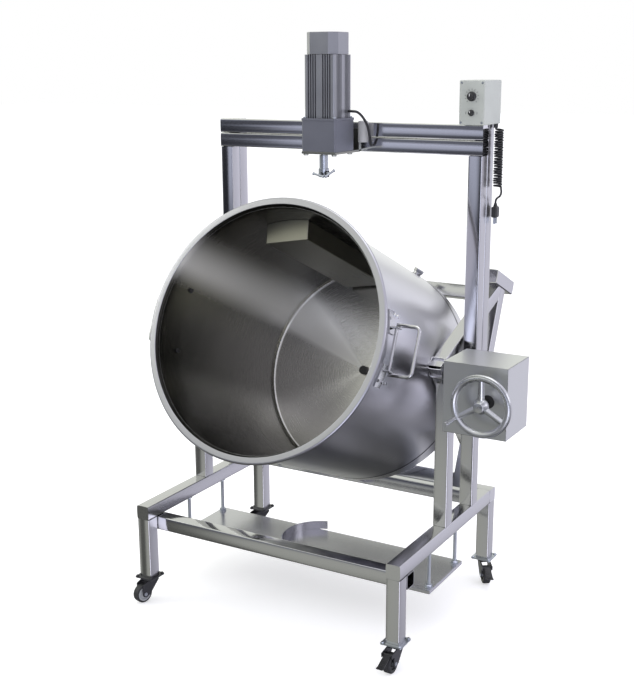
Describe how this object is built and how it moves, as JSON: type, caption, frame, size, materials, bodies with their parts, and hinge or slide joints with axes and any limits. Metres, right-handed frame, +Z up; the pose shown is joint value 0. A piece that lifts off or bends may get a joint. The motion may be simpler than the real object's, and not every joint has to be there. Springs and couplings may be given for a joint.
{
  "type": "tilting jacketed kettle",
  "caption": "Wheeled stand of square steel tube with a jacketed open kettle that tips on trunnions by handwheel, under a stirrer gearmotor and a control box.",
  "frame": {"origin": "on the floor under the middle of the object's bounding box", "axes": "+Z up, +X to the right seen from the side the kettle pours to, +Y to the back"},
  "size_m": [0.9879, 0.8954, 1.485],
  "materials": {
    "polished_steel": "polished stainless steel",
    "satin_steel": "brushed stainless steel",
    "zinc_steel": "zinc-plated steel",
    "bronze": "machined bronze",
    "motor_paint": "blue-grey paint",
    "motor_aluminium": "cast and extruded aluminium",
    "box_paint": "light greenish-grey paint",
    "black_plastic": "black plastic",
    "black_paint": "black paint",
    "castor_rubber": "black rubber",
    "grey_plastic": "grey plastic",
    "cord_rubber": "black rubber",
    "cast_iron": "black cast iron"
  },
  "bodies": {
    "frame": {"side_rail_left": "polished_steel", "side_rail_right": "polished_steel", "front_rail": "polished_steel", "rear_rail": "polished_steel", "short_post_left": "polished_steel", "short_post_right": "polished_steel", "tall_post_left": "polished_steel", "tall_post_right": "polished_steel", "beam": "polished_steel", "leg_front_left": "polished_steel", "leg_front_right": "polished_steel", "leg_rear_left": "polished_steel", "leg_rear_right": "polished_steel", "burner_tray": "satin_steel", "wind_guard": "satin_steel", "gear_cover": "satin_steel", "motor_mount": "satin_steel", "gearhead": "motor_paint", "motor_stator": "motor_aluminium", "fan_cover": "motor_aluminium", "control_box": "box_paint", "cord_plug": "black_plastic", "capacitor": "grey_plastic", "motor_cable": "cord_rubber", "cord_coil": "cord_rubber", "cord_tail": "cord_rubber", "trunnion_bearing_left": "cast_iron", "trunnion_bearing_right": "cast_iron", "worm_bracket": "cast_iron"},
    "kettle": {"inner_pot": "satin_steel", "jacket": "satin_steel", "baffle": "satin_steel", "handle_bracket_left": "satin_steel", "handle_bracket_right": "satin_steel", "cradle_side_left": "polished_steel", "cradle_side_right": "polished_steel", "cradle_bar_rear": "polished_steel", "cradle_bar_front": "polished_steel", "trunnion_left": "satin_steel", "trunnion_right": "satin_steel", "worm_wheel": "bronze"},
    "left_handle": {"handle_left": "polished_steel"},
    "right_handle": {"handle_right": "polished_steel"},
    "handwheel_and_worm": {"handwheel": "satin_steel", "worm_shaft": "satin_steel"},
    "crank": {"crank_handle": "satin_steel"},
    "output": {"output_shaft": "satin_steel", "clamp_sleeve": "zinc_steel"},
    "speed_control": {"speed_knob": "black_plastic"},
    "run_switch": {"switch_knob": "black_plastic"},
    "castor_front_left": {"castor_fork_front_left": "black_paint"},
    "wheel_front_left": {"castor_wheel_front_left": "castor_rubber"},
    "castor_front_right": {"castor_fork_front_right": "black_paint"},
    "wheel_front_right": {"castor_wheel_front_right": "castor_rubber"},
    "castor_rear_left": {"castor_fork_rear_left": "black_paint"},
    "wheel_rear_left": {"castor_wheel_rear_left": "castor_rubber"},
    "castor_rear_right": {"castor_fork_rear_right": "black_paint"},
    "wheel_rear_right": {"castor_wheel_rear_right": "castor_rubber"},
    "brake_front_right": {"brake_pedal_front_right": "black_paint"},
    "brake_rear_right": {"brake_pedal_rear_right": "black_paint"}
  },
  "joints": [
    {"name": "kettle_tilt", "type": "hinge", "parent": "frame", "child": "kettle", "pos_m": [-0.0879, -0.0116, 0.66601], "axis": [1, 0, 0], "range_deg": [-66.5, 18.5]},
    {"name": "handwheel_turn", "type": "hinge", "parent": "frame", "child": "handwheel_and_worm", "pos_m": [0.4171, -0.1656, 0.63151], "axis": [0, -1, 0], "range_deg": [-1620, 468]},
    {"name": "crank_spin", "type": "hinge", "parent": "handwheel_and_worm", "child": "crank", "pos_m": [0.35631, -0.1656, 0.59641], "axis": [0, -1, 0], "continuous": true},
    {"name": "output_spin", "type": "hinge", "parent": "frame", "child": "output", "pos_m": [-0.0879, -0.0173, 1.19333], "axis": [0, 0, 1], "continuous": true},
    {"name": "speed_turn", "type": "hinge", "parent": "frame", "child": "speed_control", "pos_m": [0.2821, 0.0544, 1.33133], "axis": [0, -1, 0], "range_deg": [-135, 135]},
    {"name": "switch_turn", "type": "hinge", "parent": "frame", "child": "run_switch", "pos_m": [0.2821, 0.0544, 1.29233], "axis": [0, -1, 0], "range_deg": [-45, 45]},
    {"name": "handle_fold_right", "type": "hinge", "parent": "kettle", "child": "right_handle", "pos_m": [0.2309, -0.25268, 0.76461], "axis": [0, 0.3987, 0.9171], "range_deg": [0, 80]},
    {"name": "handle_fold_left", "type": "hinge", "parent": "kettle", "child": "left_handle", "pos_m": [-0.4067, -0.25268, 0.76461], "axis": [0, -0.3987, -0.9171], "range_deg": [0, 80]},
    {"name": "swivel_front_left", "type": "hinge", "parent": "frame", "child": "castor_front_left", "pos_m": [-0.4579, -0.3236, 0.066], "axis": [0, 0, 1], "continuous": true},
    {"name": "roll_front_left", "type": "hinge", "parent": "castor_front_left", "child": "wheel_front_left", "pos_m": [-0.46463, -0.34871, 0.025], "axis": [0.9659, -0.2588, 0], "continuous": true},
    {"name": "swivel_front_right", "type": "hinge", "parent": "frame", "child": "castor_front_right", "pos_m": [0.2821, -0.3236, 0.066], "axis": [0, 0, 1], "continuous": true},
    {"name": "roll_front_right", "type": "hinge", "parent": "castor_front_right", "child": "wheel_front_right", "pos_m": [0.2821, -0.3496, 0.025], "axis": [1, 0, 0], "continuous": true},
    {"name": "brake_front_right", "type": "hinge", "parent": "castor_front_right", "child": "brake_front_right", "pos_m": [0.2821, -0.36415, 0.05237], "axis": [1, 0, 0], "range_deg": [-20, 0]},
    {"name": "swivel_rear_left", "type": "hinge", "parent": "frame", "child": "castor_rear_left", "pos_m": [-0.4579, 0.2324, 0.066], "axis": [0, 0, 1], "continuous": true},
    {"name": "roll_rear_left", "type": "hinge", "parent": "castor_rear_left", "child": "wheel_rear_left", "pos_m": [-0.47281, 0.2111, 0.025], "axis": [0.8192, -0.5736, 0], "continuous": true},
    {"name": "swivel_rear_right", "type": "hinge", "parent": "frame", "child": "castor_rear_right", "pos_m": [0.2821, 0.2324, 0.066], "axis": [0, 0, 1], "continuous": true},
    {"name": "roll_rear_right", "type": "hinge", "parent": "castor_rear_right", "child": "wheel_rear_right", "pos_m": [0.29701, 0.2111, 0.025], "axis": [0.8192, 0.5736, 0], "continuous": true},
    {"name": "brake_rear_right", "type": "hinge", "parent": "castor_rear_right", "child": "brake_rear_right", "pos_m": [0.30536, 0.19918, 0.05237], "axis": [0.8192, 0.5736, 0], "range_deg": [-20, 0]}
  ],
  "couplings": [
    {"joint": "handwheel_turn", "follows": "kettle_tilt", "ratio": 24}
  ]
}
